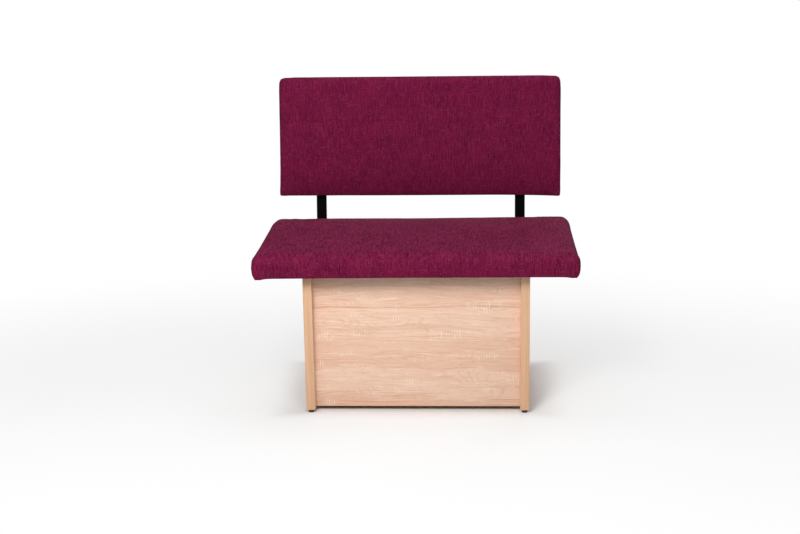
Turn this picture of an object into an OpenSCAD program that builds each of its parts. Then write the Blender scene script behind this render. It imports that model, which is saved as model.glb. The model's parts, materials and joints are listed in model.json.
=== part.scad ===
// Bench with backrest: an upholstered seat and back pad on a box base of laminated board.
// Millimetres. +Z is up, -Y is the front, and the origin lies on the floor under the middle of the bench.

/* [Seat] */
// Width of the seat cushion at its fullest line
seat_w = 900; // [780:10:1200]
// Depth of the seat cushion, front to back
seat_d = 480; // [400:5:600]
// Thickness of the seat's plywood board
seat_board_t = 18; // [12:1:25]
// Thickness of the seat foam above the board, at the cushion's edge
seat_foam_t = 44; // [30:1:70]
// Extra height of the seat in the middle
seat_crown = 5; // [0:0.5:15]
// How much lower the seat's top lies at its four corners
seat_corner_drop = 3; // [0:0.5:16]
// Width of the rounding along the seat's top edge
seat_edge_r = 28; // [14:1:45]
// Radius of the seat's corners, seen from above
seat_corner_r = 24; // [14:1:60]
// How far the cover draws in from its fullest line to its underside
seat_draw = 8; // [3:0.5:14]
// Height of the seat's fullest line over its underside
seat_full_h = 36; // [24:1:40]

/* [Back pad] */
// Width of the back pad
back_w = 846; // [760:2:1200]
// Height of the back pad, along its slope
back_h = 354; // [260:2:450]
// Thickness of the back pad's plywood board
back_board_t = 15; // [12:1:25]
// Thickness of the back foam at the pad's edge
back_foam_t = 30; // [20:1:60]
// Extra thickness of the back pad in the middle
back_crown = 4; // [0:0.5:12]
// How much thinner the back pad is at its four corners
back_corner_drop = 3; // [0:0.5:8]
// Width of the rounding along the back pad's front edge
back_edge_r = 16; // [12:1:30]
// Radius of the back pad's corners, seen from the front
back_corner_r = 14; // [12:1:40]
// How far the back cover draws in from its fullest line to its rear face
back_draw = 3; // [1:0.5:8]
// Distance of the pad's fullest line from its rear face
back_full_h = 26; // [20:1:30]
// Angle by which the back pad leans backwards
back_recline = 7.3; // [3:0.1:15]
// Distance from the bend in the back bars up to the pad's lower edge
back_rise = 103; // [80:1:180]

/* [Covers] */
// Thickness of the woven cover
fabric_t = 1.2; // [0.8:0.1:2]
// Thickness of the dust cloth under the seat
cloth_t = 0.8; // [0.5:0.1:1.5]
// Width of the cover's hem that is turned over the board
hem_w = 28; // [16:1:34]
// Distance from a cover's edge to the edge of the cloth that closes it
cloth_in = 12; // [6:1:20]
// Distance from the drawn-in cover to the board's edge, filled with foam
board_in = 4; // [3:0.5:8]
// Free space between foam and cover
foam_play = 0.3; // [0.2:0.1:0.5]
// How far the sides pull in between the corners
side_waist = 1.5; // [0:0.5:4]

/* [Base] */
// Width of the base over both side panels
base_w = 634; // [520:2:720]
// Height of the side panels
base_h = 405; // [340:1:500]
// Thickness of the side panels
side_t = 25; // [20:1:30]
// Distance from the seat's front to the side panels' front edges
base_setback = 58; // [20:1:120]
// Thickness of the front and rear panels
panel_t = 18; // [16:1:22]
// Distance from the side panels' edges to the face of the front and rear panels
panel_setback = 22; // [6:1:40]
// Height of the panels' lower edges over the side panels' lower edges
panel_gap = 4; // [2:1:30]
// Thickness of the edge bands
band_t = 2; // [0.8:0.2:3]
// Thickness of the rails under the seat
rail_t = 22; // [18:1:30]
// Height of the rails under the seat
rail_h = 45; // [30:1:60]

/* [Back bars] */
// Width of the flat steel bars
bar_w = 30; // [25:1:40]
// Thickness of the flat steel bars
bar_t = 8; // [6:1:10]
// Free space between the seat's rear and the bars
bar_seat_gap = 8; // [2:1:20]
// Height of the bend in the bars over the top of the base
bar_bend_h = 26; // [10:1:50]
// Length of each bar below its bend
bar_lower = 230; // [205:5:290]
// Distance from the top of each bar to the pad's upper edge
bar_top_gap = 45; // [20:1:70]

/* [Levelling feet] */
// Diameter of a foot where it stands on the floor
foot_d = 16; // [14:0.5:20]
// Height of a foot
foot_h = 6.5; // [6:0.5:12]
// Nominal diameter of the levelling screw's thread
foot_screw_d = 6; // [5:1:6]
// Length of the levelling screw above its hexagon
foot_screw_l = 26; // [22:1:34]
// Width across the flats of the levelling screw's hexagon
foot_hex_af = 10; // [8:0.5:12]
// Height of the levelling screw's hexagon
foot_hex_h = 2; // [1.5:0.5:4]
// Free height between the hexagon and the side panel
foot_lift_gap = 1; // [0.9:0.1:4]
// Distance from a side panel's edge to the middle of a foot
foot_in = 13; // [11:1:40]

/* [Fittings] */
// Diameter of the wooden dowels
dowel_d = 8; // [6:1:10]
// Length of the wooden dowels
dowel_l = 34; // [30:1:40]
// Depth to which a dowel stands in a side panel
dowel_bite = 11; // [9:1:14]
// Diameter of the cam housings
cam_d = 15; // [12:1:18]
// Height of the cam housings
cam_h = 12.5; // [11.5:0.5:13.5]
// Distance from a panel's end to the middle of a cam housing
cam_in = 34; // [24:1:40]
// Depth to which a cam bolt stands in a side panel
cam_bite = 11; // [8:1:14]
// Distance from a panel's lower edge to its lower cam
cam_low = 60; // [40:1:90]
// Distance from the top of the base to the panels' upper cams
cam_high = 75; // [65:1:80]
// Distance from a cam up or down to the dowel next to it
dowel_step = 70; // [60:1:75]
// Diameter of the screws through the rails
screw_d = 5; // [4:0.5:6]
// Depth to which the screws through the rails bite
screw_bite = 12; // [8:1:14]
// Distance from a rail's end to its last screw into the panel
rail_screw_end = 50; // [30:1:70]
// Distance from a rail's end to its last screw into the seat
seat_screw_end = 85; // [80:1:110]
// Length of both legs of an angle bracket
bracket_leg = 30; // [26:1:40]
// Width of an angle bracket
bracket_w = 32; // [28:1:50]
// Thickness of an angle bracket
bracket_t = 2; // [1.5:0.5:3]
// Distance between the two brackets on one side
bracket_space = 140; // [80:5:180]
// Distance from a bracket's corner to its screws
bracket_hole_in = 18; // [14:1:22]
// Distance between the two screws in one leg of a bracket
bracket_hole_space = 16; // [12:1:18]
// Diameter of the bracket screws
bracket_screw_d = 4; // [3:0.5:5]
// Depth to which the bracket screws bite
bracket_screw_bite = 10; // [8:0.5:11.5]
// Nominal diameter of the bolts that hold the back pad
back_bolt_d = 8; // [6:1:8]
// Distance from the pad's lower edge to its lowest bolts
back_bolt_low = 55; // [40:1:70]
// Distance from the top of a bar to its highest bolt
back_bolt_high = 25; // [18:1:40]
// Depth to which the back bolts pass into the back board
back_bolt_bite = 13; // [11:0.5:14]
// Diameter of a tee nut's flange
tee_flange_d = 20; // [17:1:24]
// Thickness of a tee nut's flange
tee_flange_t = 1.5; // [1:0.5:2]
// Length of a tee nut's barrel
tee_barrel_l = 9; // [7:0.5:10]
// Wall of a tee nut's barrel
tee_wall = 1.5; // [1:0.5:2]
// Nominal diameter of the bolts that hold the bars to the base
bar_bolt_d = 6; // [5:1:6]
// Depth to which those bolts pass into the side panels
bar_bolt_bite = 30; // [20:1:36]
// Distance from the top of the base down to the first bolt
bar_bolt_top = 20; // [14:1:26]
// Distance from a bar's lower end up to its last bolt
bar_bolt_end = 20; // [14:1:30]
// Length of the threaded inserts
insert_l = 13; // [10:1:15]
// Wall of the threaded inserts
insert_wall = 1.5; // [1:0.5:2]
// Radial clearance of a fastener in a drilled hole
drill_play = 0.1; // [0.05:0.05:0.2]
// Radial clearance of a nominal thread in its nut
thread_play = 0.05; // [0.03:0.01:0.08]

/* [Hidden] */
$fn = 48;

// Length by which a cutter passes the face that it cuts
over = 1;
// Depth of a blind hole beyond its fastener's end
hole_rest = 0.5;
// Vertical clearance between a foot and the screw that turns in it
turn_play = 0.1;
// Rim and height of the round head by which the levelling screw is held in its foot
foot_head_rim = 1.5;
foot_head_h = 2;
// Thickness of a foot under that head
foot_floor = 2;
// Chamfer round a foot's lower edge
foot_chamfer = 0.8;
// Amount by which a foot narrows to its top
foot_taper = 0.8;

// Chamfer at the ends of a dowel
dowel_chamfer = 1;
// Radius of a cam bolt's shank, and radius and thickness of its head and of its collar
cam_shank_r = 2.5;
cam_head_r = 3.4;
cam_head_l = 3;
// Radius of the way in which a cam bolt's head runs, through the panel and into its housing
cam_way_r = 4;
// Width and depth of the cross slot in a cam housing, and its length as a share of the housing
cam_slot_w = 1.5;
cam_slot_depth = 2;
cam_slot_share = 0.5;
// Radius of a wood screw's point
tip_r = 0.3;
// Sizes of a fastener's head as shares of its diameter: radius of the head, depth of a countersunk head,
// height of a pan head and radius of its top
head_share = 1;
sink_share = 0.5;
pan_share = 0.4;
pan_top_share = 0.8;
// Arm, width and depth of a cross recess, and radius and depth of a hexagon socket, as such shares too
cross_arm_share = 0.5;
cross_slot_share = 0.2;
cross_depth_share = 0.4;
socket_share = 0.36;
socket_depth_share = 0.35;
// Corner radius of the opening inside a cover's hem, and least radius of a cushion's corner
hem_corner_r = 4;
least_corner_r = 4;

// Points along the parts of a cushion's outline, steps over its side and its edge, and the sizes of the
// rings on its top, from the middle outwards, as shares of the ring at its edge
arc_steps = 4;
long_steps = 8;
short_steps = 5;
low_steps = 3;
edge_steps = 6;
top_scales = [0.5, 0.8];

// Heights and places that the other pieces follow
foot_gap = foot_h + turn_play + foot_hex_h + foot_lift_gap;
base_top = foot_gap + base_h;
panel_z = foot_gap + panel_gap;
bend_z = base_top + bar_bend_h;
bar_upper = back_rise + back_h - bar_top_gap;
overall_d = seat_d + bar_seat_gap + bar_upper * sin(back_recline) + bar_t * cos(back_recline);
front_y = -overall_d / 2;
side_front_y = front_y + base_setback;
side_rear_y = front_y + seat_d + bar_seat_gap;
side_d = side_rear_y - side_front_y;
side_mid_y = (side_front_y + side_rear_y) / 2;
side_out_x = base_w / 2;
side_in_x = side_out_x - side_t;
side_mid_x = side_out_x - side_t / 2;
bar_mid_x = side_out_x - bar_w / 2;
panel_mid_in = panel_setback + panel_t / 2;
foot_ys = [side_front_y + foot_in, side_rear_y - foot_in];

// Heights of the panel joints, and the places of the screws along a rail
cam_zs = [panel_z + cam_low, base_top - cam_high];
dowel_zs = [panel_z + cam_low + dowel_step, base_top - cam_high - dowel_step];
rail_screw_reach = side_in_x - rail_screw_end;
rail_screw_xs = [for (k = [-3, -1, 1, 3]) k * rail_screw_reach / 3];
seat_screw_xs = [for (k = [-1, 0, 1]) k * (side_in_x - seat_screw_end)];
rail_mid_in = panel_setback + panel_t + rail_t / 2;
bracket_ys = [side_mid_y - bracket_space / 2, side_mid_y + bracket_space / 2];
bar_bolt_top_z = base_top - bar_bolt_top;
bar_bolt_end_z = bend_z - bar_lower + bar_bolt_end;
bar_bolt_zs = [for (k = [0:2]) bar_bolt_top_z + k * (bar_bolt_end_z - bar_bolt_top_z) / 2];
back_bolt_top = bar_upper - back_bolt_high;
back_bolt_bottom = back_rise + back_bolt_low;
back_bolt_ss = [for (k = [0:2]) back_bolt_bottom + k * (back_bolt_top - back_bolt_bottom) / 2];

// Stacks of the seat and of the back pad, counted from the face that they lie on
seat_z = base_top + cloth_t;
seat_t = 2 * fabric_t + seat_board_t + seat_foam_t;
back_t = 2 * fabric_t + back_board_t + back_foam_t;

// Sizes of a cushion: width, depth, height at its edge, crown, corner drop, draw, height of its fullest
// line, width of its edge's rounding, and radius of its corners
seat_form = [seat_w, seat_d, seat_t, seat_crown, seat_corner_drop, seat_draw, seat_full_h,
    seat_edge_r, seat_corner_r];
back_form = [back_w, back_h, back_t, back_crown, back_corner_drop, back_draw, back_full_h,
    back_edge_r, back_corner_r];
seat_board_r = seat_corner_r - seat_draw;
back_board_r = back_corner_r - back_draw;
foot_head_r = foot_screw_d / 2 + foot_head_rim;
tee_barrel_r = back_bolt_d / 2 + tee_wall;
insert_r = bar_bolt_d / 2 + insert_wall;
foot_insert_r = foot_screw_d / 2 + insert_wall;

// Colours
upholstery = "#6B1C3C";
laminate = "#E7C2A7";
banding = "#DDB184";
black_steel = "#121212";
zinc = "#B9BCC0";
black_cloth = "#1C1C1E";
plywood = "#CFAE82";
beech = "#D3A877";
foam = "#E9E2C4";

// Places children on the right (side = 1) or mirrored on the left (side = -1)
module on_side(side) {
    if (side > 0) children();
    else mirror([1, 0, 0]) children();
}

// Places children by the front panel (end = 1) or mirrored by the rear panel (end = -1).
// In both, y = 0 is the side panels' edge and +Y points into the base.
module at_panel(end) {
    if (end > 0) translate([0, side_front_y, 0]) children();
    else translate([0, side_rear_y, 0]) mirror([0, 1, 0]) children();
}

// Frame of the back bars' sloping part: z runs up the bars' front face from the bend, y through them
module at_bars() {
    translate([0, side_rear_y, bend_z]) rotate([-back_recline, 0, 0]) children();
}

// Frame of the back pad: x and y run over it, and z points to its front
module at_back() {
    at_bars() translate([0, 0, back_rise + back_h / 2]) rotate([90, 0, 0]) children();
}

// Rounded rectangle with true arcs
module rounded_rect(w, d, r) {
    square([w - 2 * r, d], center = true);
    square([w, d - 2 * r], center = true);
    for (x = [-1, 1], y = [-1, 1])
        translate([x * (w / 2 - r), y * (d / 2 - r)]) circle(r);
}

// Cushion forms
function corner_arc(cx, cy, r, start) =
    [for (k = [0:arc_steps]) let (a = start + 90 * k / arc_steps) [cx + r * cos(a), cy + r * sin(a)]];
function between(p, q, n) = [for (k = [1:n - 1]) p + (q - p) * k / n];
function outline(w, d, r) =
    let (hx = w / 2 - r, hy = d / 2 - r)
    concat(
        corner_arc(hx, hy, r, 0), between([hx, d / 2], [-hx, d / 2], long_steps),
        corner_arc(-hx, hy, r, 90), between([-w / 2, hy], [-w / 2, -hy], short_steps),
        corner_arc(-hx, -hy, r, 180), between([-hx, -d / 2], [hx, -d / 2], long_steps),
        corner_arc(hx, -hy, r, 270), between([w / 2, -hy], [w / 2, hy], short_steps)
    );

// Section of a cushion's side: [distance inside the fullest line, height], for a skin `in` further in
function side_section(t, draw, full_h, edge_r, in) = concat(
    [for (k = [0:low_steps - 1]) let (u = k / low_steps) [draw * pow(1 - u, 2), in + (full_h - in) * u]],
    [for (k = [0:edge_steps]) let (a = 90 * k / edge_steps)
        [(edge_r - in) * (1 - cos(a)), full_h + (t - in - full_h) * sin(a)]]
);

// Pull of the waist at a place along a side: none beyond the start of the corner's arc
function pull(along, half, r) = side_waist * max(0, 1 - pow(along / (half - r), 2));

// Middle of the top of a cushion of the sizes c, for a skin `in` further in
function top_point(c, in) = [0, 0, c[2] + c[3] - in];

// Rings round a crowned cushion of the sizes c, from its top down to its underside at z = in
function cushion_rings(c, in) =
    let (
        hw = c[0] / 2 - in, hd = c[1] / 2 - in, t = c[2], crown = c[3], drop = c[4],
        full_h = c[6], corner_r = c[8],
        section = side_section(t, c[5], full_h, c[7], in),
        last = section[len(section) - 1],
        steps = concat(
            [for (k = top_scales) [last[0], last[1], k]],
            [for (k = [len(section) - 1:-1:0]) [section[k][0], section[k][1], 1]]
        )
    )
    [for (s = steps) let (r = max(corner_r - in - s[0] / 2, least_corner_r))
        [for (p = outline(2 * (hw - s[0]), 2 * (hd - s[0]), r))
            let (
                x = s[2] * p[0] - sign(p[0]) * pull(s[2] * p[1], hd, corner_r),
                y = s[2] * p[1] - sign(p[1]) * pull(s[2] * p[0], hw, corner_r),
                u = max(0, (s[1] - full_h) / (t - in - full_h)),
                swell = crown * (1 - pow(x / hw, 2)) * (1 - pow(y / hd, 2)),
                sag = drop * pow(x / hw, 4) * pow(y / hd, 4)
            )
            [x, y, s[1] + u * (swell - sag)]
        ]
    ];

// Closed solid under a point: a strip of rings, then a second point, or a flat face where there is none.
// From ring `back` on, where the strip climbs again, its faces are split along the same diagonals.
module strip_solid(first, rings, last = undef, back = undef) {
    n = len(rings[0]);
    end = 1 + (len(rings) - 1) * n;
    points = concat([first], [for (r = rings, p = r) p], last == undef ? [] : [last]);
    walls = [for (k = [0:len(rings) - 2], j = [0:n - 1])
        let (a = 1 + k * n + j, b = 1 + k * n + (j + 1) % n)
        each (back == undef || k < back ? [[a + n, a, b], [a + n, b, b + n]]
            : [[a + n, a, b + n], [a, b, b + n]])];
    faces = concat(
        [for (j = [0:n - 1]) [1 + j, 0, 1 + (j + 1) % n]],
        walls,
        last == undef ? [[for (j = [0:n - 1]) end + j]]
            : [for (j = [0:n - 1]) [len(points) - 1, end + j, end + (j + 1) % n]]
    );
    polyhedron(points = points, faces = faces, convexity = 4);
}

// The foam inside a cover, down to the cover's hem
module cushion_foam(c) {
    in = fabric_t + foam_play;
    strip_solid(top_point(c, in), cushion_rings(c, in));
}

// The cover: down its outside, in along the hem, and up again inside it
module cushion_cover(c) {
    outside = cushion_rings(c, 0);
    inside = cushion_rings(c, fabric_t);
    hem = outline(c[0] - 2 * (c[5] + hem_w), c[1] - 2 * (c[5] + hem_w), hem_corner_r);
    rings = concat(
        outside,
        [for (z = [0, fabric_t]) [for (p = hem) [p[0], p[1], z]]],
        [for (k = [len(inside) - 1:-1:0]) inside[k]]
    );
    strip_solid(top_point(c, 0), rings, top_point(c, fabric_t), len(outside) + 2);
}

// Frames of the seat cushion and of the back pad's stack above its lining
module at_seat() {
    translate([0, front_y + seat_d / 2, seat_z]) children();
}

module at_pad() {
    at_back() translate([0, 0, fabric_t]) children();
}

// Plate of the seat's outline, `in` inside the drawn-in cover, from height z upwards
module seat_plate(in, z, t, r) {
    translate([0, front_y + seat_d / 2, z]) linear_extrude(t)
        rounded_rect(seat_w - 2 * (seat_draw + in), seat_d - 2 * (seat_draw + in), r);
}

// Plate of the back pad's outline, from distance z in front of the bars
module back_plate(in, z, t, r) {
    at_back() translate([0, 0, z]) linear_extrude(t)
        rounded_rect(back_w - 2 * (back_draw + in), back_h - 2 * (back_draw + in), r);
}

// Fasteners of diameter d and length l, each with its shank running down from z = 0
module cross_recess(d) {
    arm = d * cross_arm_share;
    slot = d * cross_slot_share;
    depth = d * cross_depth_share;
    for (a = [0, 90])
        rotate([0, 0, a]) translate([-arm, -slot / 2, -depth]) cube([2 * arm, slot, depth + over]);
}

// A countersunk head, `play` larger all round for a hole
module sunk_head(d, play = 0) {
    depth = d * sink_share;
    translate([0, 0, -depth]) cylinder(h = depth, r1 = d / 2 + play, r2 = d * head_share + play);
}

module shank(d, l, play = 0) {
    translate([0, 0, -l]) cylinder(h = l, r = d / 2 + play);
}

module pointed_shank(d, l) {
    shank(d, l - d);
    translate([0, 0, -l]) cylinder(h = d, r1 = tip_r, r2 = d / 2);
}

module countersunk_hole(d, l) {
    cylinder(h = over, r = d * head_share + drill_play);
    sunk_head(d, drill_play);
    shank(d, l, drill_play);
}

module wood_screw(d, l) {
    difference() {
        union() {
            sunk_head(d);
            pointed_shank(d, l);
        }
        cross_recess(d);
    }
}

module pan_screw(d, l) {
    head = d * pan_share;
    difference() {
        union() {
            cylinder(h = head, r1 = d * head_share, r2 = d * pan_top_share);
            pointed_shank(d, l);
        }
        translate([0, 0, head]) cross_recess(d);
    }
}

module socket_bolt(d, l) {
    depth = d * socket_depth_share;
    difference() {
        union() {
            sunk_head(d);
            shank(d, l);
        }
        translate([0, 0, -depth]) cylinder(h = depth + over, r = d * socket_share, $fn = 6);
    }
}

module screw_hole(d, l) {
    shank(d, l, drill_play);
}

// Hole through a sheet of thickness t whose face is at z = 0
module through_hole(d, t) {
    translate([0, 0, -t - over]) cylinder(h = t + 2 * over, r = d / 2 + drill_play);
}

module threaded_insert(d, l, wall) {
    difference() {
        cylinder(h = l, r = d / 2 + wall);
        translate([0, 0, -over]) cylinder(h = l + 2 * over, r = d / 2 + thread_play);
    }
}

// Joint between a panel's end and the right side panel: x = 0 is the side panel's inner face
module dowel() {
    r = dowel_d / 2;
    translate([dowel_bite - dowel_l, 0, 0]) rotate([0, 90, 0]) rotate_extrude()
        polygon([
            [0, 0], [r - dowel_chamfer, 0], [r, dowel_chamfer],
            [r, dowel_l - dowel_chamfer], [r - dowel_chamfer, dowel_l], [0, dowel_l]
        ]);
}

module dowel_hole() {
    translate([dowel_bite - dowel_l - hole_rest, 0, 0]) rotate([0, 90, 0])
        cylinder(h = dowel_l + 2 * hole_rest, r = dowel_d / 2 + drill_play);
}

module cam_bolt() {
    rotate([0, 90, 0]) {
        translate([0, 0, -cam_in]) cylinder(h = cam_head_l, r = cam_head_r);
        translate([0, 0, -cam_in]) cylinder(h = cam_in + cam_bite, r = cam_shank_r);
        translate([0, 0, -cam_head_l]) cylinder(h = cam_head_l, r = cam_head_r);
    }
}

module cam_bolt_hole() {
    rotate([0, 90, 0]) {
        translate([0, 0, -cam_in]) cylinder(h = cam_in, r = cam_way_r);
        cylinder(h = cam_bite + hole_rest, r = cam_shank_r + drill_play);
    }
}

// The housing lies in the panel's inner face, which is panel_t / 2 inside its middle
module cam_housing() {
    difference() {
        translate([-cam_in, panel_t / 2, 0]) rotate([90, 0, 0]) cylinder(h = cam_h, d = cam_d);
        translate([-cam_in - cam_way_r, 0, 0]) rotate([0, 90, 0]) cylinder(h = cam_d, r = cam_way_r);
        for (size = [[cam_d * cam_slot_share, cam_slot_w], [cam_slot_w, cam_d * cam_slot_share]])
            translate([-cam_in - size[0] / 2, panel_t / 2 - cam_slot_depth, -size[1] / 2])
                cube([size[0], cam_slot_depth + over, size[1]]);
    }
}

module cam_housing_hole() {
    translate([-cam_in, panel_t / 2 + over, 0]) rotate([90, 0, 0])
        cylinder(h = cam_h + over + drill_play, r = cam_d / 2 + drill_play);
}

// Puts children at every panel joint of the given heights, on the chosen sides and panels
module at_joints(zs, sides = [-1, 1], ends = [-1, 1]) {
    for (end = ends, side = sides, z = zs)
        at_panel(end) on_side(side) translate([side_in_x, panel_mid_in, z]) children();
}

// Base
module side_panel(side) {
    color(laminate) difference() {
        on_side(side) translate([side_in_x, side_front_y + band_t, foot_gap])
            cube([side_t, side_d - 2 * band_t, base_h]);
        at_joints(dowel_zs, [side]) dowel_hole();
        at_joints(cam_zs, [side]) cam_bolt_hole();
        at_bracket_side_screws([side])
            screw_hole(bracket_screw_d, bracket_t + bracket_screw_bite + hole_rest);
        for (y = foot_ys) on_side(side) translate([side_mid_x, y, foot_gap - over]) {
            cylinder(h = insert_l + over, r = foot_insert_r + drill_play);
            cylinder(h = over + foot_screw_l + hole_rest, r = foot_screw_d / 2 + hole_rest);
        }
        at_bar_bolts([side]) {
            translate([0, 0, -bar_t - band_t - insert_l])
                cylinder(h = insert_l + over, r = insert_r + drill_play);
            screw_hole(bar_bolt_d, bar_t + bar_bolt_bite + hole_rest);
        }
    }
}

module side_band(side, end) {
    color(banding) difference() {
        at_panel(end) on_side(side) translate([side_in_x, 0, foot_gap]) cube([side_t, band_t, base_h]);
        at_bar_bolts([side]) screw_hole(bar_bolt_d, bar_t + bar_bolt_bite);
    }
}

module cross_panel(end) {
    color(laminate) difference() {
        at_panel(end) translate([-side_in_x, panel_setback, panel_z + band_t])
            cube([2 * side_in_x, panel_t, base_top - panel_z - band_t]);
        at_joints(dowel_zs, ends = [end]) dowel_hole();
        at_joints(cam_zs, ends = [end]) cam_bolt_hole();
        at_joints(cam_zs, ends = [end]) cam_housing_hole();
        at_rail_screws(end) screw_hole(screw_d, rail_t + screw_bite + hole_rest);
    }
}

module cross_panel_band(end) {
    color(banding) at_panel(end) translate([-side_in_x, panel_setback, panel_z])
        cube([2 * side_in_x, panel_t, band_t]);
}

module rail(end) {
    color(beech) difference() {
        at_panel(end) translate([-side_in_x, panel_setback + panel_t, base_top - rail_h])
            cube([2 * side_in_x, rail_t, rail_h]);
        at_rail_screws(end) countersunk_hole(screw_d, rail_t + screw_bite);
        at_seat_screws(end) countersunk_hole(screw_d, rail_h + screw_bite);
    }
}

// Places of the fasteners: z = 0 is the face that a head lies in, and the shank runs to -z
module at_rail_screws(end) {
    for (x = rail_screw_xs)
        at_panel(end) translate([x, panel_setback + panel_t + rail_t, base_top - rail_h / 2])
            rotate([-90, 0, 0]) children();
}

module at_seat_screws(end) {
    for (x = seat_screw_xs)
        at_panel(end) translate([x, rail_mid_in, base_top - rail_h]) rotate([180, 0, 0]) children();
}

module at_bracket_side_screws(sides = [-1, 1]) {
    for (side = sides, y = bracket_ys, k = [-1, 1])
        on_side(side)
            translate([side_in_x - bracket_t, y + k * bracket_hole_space / 2, base_top - bracket_hole_in])
                rotate([0, -90, 0]) children();
}

module at_bracket_seat_screws() {
    for (side = [-1, 1], y = bracket_ys, k = [-1, 1])
        on_side(side)
            translate([side_in_x - bracket_hole_in, y + k * bracket_hole_space / 2, base_top - bracket_t])
                rotate([180, 0, 0]) children();
}

module at_bar_bolts(sides = [-1, 1]) {
    for (side = sides, z = bar_bolt_zs)
        on_side(side) translate([side_mid_x, side_rear_y + bar_t, z]) rotate([-90, 0, 0]) children();
}

module at_back_bolts(sides = [-1, 1]) {
    for (side = sides, s = back_bolt_ss)
        at_bars() on_side(side) translate([bar_mid_x, bar_t, s]) rotate([-90, 0, 0]) children();
}

module panel_dowels() {
    color(beech) at_joints(dowel_zs) dowel();
}

module cam_housings() {
    color(zinc) at_joints(cam_zs) cam_housing();
}

module cam_bolts() {
    color(zinc) at_joints(cam_zs) cam_bolt();
}

module rail_screws() {
    color(zinc) for (end = [-1, 1]) at_rail_screws(end) wood_screw(screw_d, rail_t + screw_bite);
}

module seat_screws() {
    color(zinc) for (end = [-1, 1])
        at_seat_screws(end) wood_screw(screw_d, rail_h + cloth_t + fabric_t + screw_bite);
}

module angle_brackets() {
    color(zinc) difference() {
        for (side = [-1, 1], y = bracket_ys) on_side(side) {
            translate([side_in_x - bracket_t, y - bracket_w / 2, base_top - bracket_leg])
                cube([bracket_t, bracket_w, bracket_leg]);
            translate([side_in_x - bracket_leg, y - bracket_w / 2, base_top - bracket_t])
                cube([bracket_leg, bracket_w, bracket_t]);
        }
        at_bracket_side_screws() through_hole(bracket_screw_d, bracket_t);
        at_bracket_seat_screws() through_hole(bracket_screw_d, bracket_t);
    }
}

module bracket_screws() {
    color(zinc) {
        at_bracket_side_screws() pan_screw(bracket_screw_d, bracket_t + bracket_screw_bite);
        at_bracket_seat_screws()
            pan_screw(bracket_screw_d, bracket_t + cloth_t + fabric_t + bracket_screw_bite);
    }
}

// Levelling feet
module foot_inserts() {
    color(zinc) for (side = [-1, 1], y = foot_ys)
        on_side(side) translate([side_mid_x, y, foot_gap])
            threaded_insert(foot_screw_d, insert_l, insert_wall);
}

module foot(side, k) {
    r = foot_d / 2;
    head_top = foot_floor + foot_head_h + 2 * turn_play;
    color(black_steel) on_side(side) translate([side_mid_x, foot_ys[k], 0]) rotate_extrude()
        polygon([
            [0, 0], [r - foot_chamfer, 0], [r, foot_chamfer], [r - foot_taper, foot_h],
            [foot_screw_d / 2 + drill_play, foot_h], [foot_screw_d / 2 + drill_play, head_top],
            [foot_head_r + drill_play, head_top], [foot_head_r + drill_play, foot_floor], [0, foot_floor]
        ]);
}

module foot_screw(side, k) {
    hex_z = foot_h + turn_play;
    color(zinc) on_side(side) translate([side_mid_x, foot_ys[k], 0]) {
        translate([0, 0, foot_floor + turn_play]) cylinder(h = foot_head_h, r = foot_head_r);
        translate([0, 0, foot_floor + turn_play])
            cylinder(h = hex_z + foot_hex_h + foot_screw_l - foot_floor - turn_play, d = foot_screw_d);
        translate([0, 0, hex_z]) cylinder(h = foot_hex_h, r = foot_hex_af / sqrt(3), $fn = 6);
    }
}

// Seat
module seat_board() {
    color(plywood) difference() {
        seat_plate(fabric_t + board_in, seat_z + fabric_t, seat_board_t, seat_board_r);
        for (end = [-1, 1])
            at_seat_screws(end) screw_hole(screw_d, rail_h + cloth_t + fabric_t + screw_bite + hole_rest);
        at_bracket_seat_screws()
            screw_hole(bracket_screw_d, bracket_t + cloth_t + fabric_t + bracket_screw_bite + hole_rest);
    }
}

module seat_foam() {
    color(foam) difference() {
        at_seat() cushion_foam(seat_form);
        seat_plate(fabric_t + board_in, seat_z - over, seat_board_t + fabric_t + over, seat_board_r);
    }
}

module seat_cover() {
    color(upholstery) at_seat() cushion_cover(seat_form);
}

module seat_dust_cloth() {
    color(black_cloth) difference() {
        seat_plate(cloth_in, base_top, cloth_t, seat_board_r);
        for (end = [-1, 1]) at_seat_screws(end) screw_hole(screw_d, rail_h + cloth_t + over);
        at_bracket_seat_screws() screw_hole(bracket_screw_d, bracket_t + cloth_t + over);
    }
}

// Backrest
module back_board() {
    color(plywood) difference() {
        back_plate(fabric_t + board_in, 2 * fabric_t, back_board_t, back_board_r);
        at_back_bolts() screw_hole(2 * tee_barrel_r, bar_t + 2 * fabric_t + back_board_t + over);
        at_back_bolts() translate([0, 0, -bar_t - 2 * fabric_t - back_board_t - over])
            cylinder(h = tee_flange_t + over + drill_play, r = tee_flange_d / 2 + drill_play);
    }
}

module back_foam() {
    color(foam) difference() {
        at_pad() cushion_foam(back_form);
        back_plate(fabric_t + board_in, fabric_t - over, back_board_t + fabric_t + over, back_board_r);
    }
}

module back_cover() {
    color(upholstery) at_pad() cushion_cover(back_form);
}

module back_lining() {
    color(upholstery) difference() {
        back_plate(cloth_in, 0, fabric_t, back_board_r);
        at_back_bolts() screw_hole(back_bolt_d, bar_t + fabric_t + over);
    }
}

module back_bar(side) {
    turn = back_recline;
    mitre = bar_t * tan(turn / 2);
    top = [bar_upper * sin(turn), bar_upper * cos(turn)];
    color(black_steel) difference() {
        on_side(side) translate([side_out_x - bar_w, side_rear_y, bend_z]) rotate([90, 0, 90])
            linear_extrude(bar_w) polygon([
                [0, -bar_lower], [0, 0], top, top + [bar_t * cos(turn), -bar_t * sin(turn)],
                [bar_t, -mitre], [bar_t, -bar_lower]
            ]);
        at_bar_bolts([side]) countersunk_hole(bar_bolt_d, bar_t + over);
        at_back_bolts([side]) countersunk_hole(back_bolt_d, bar_t + over);
    }
}

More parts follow.
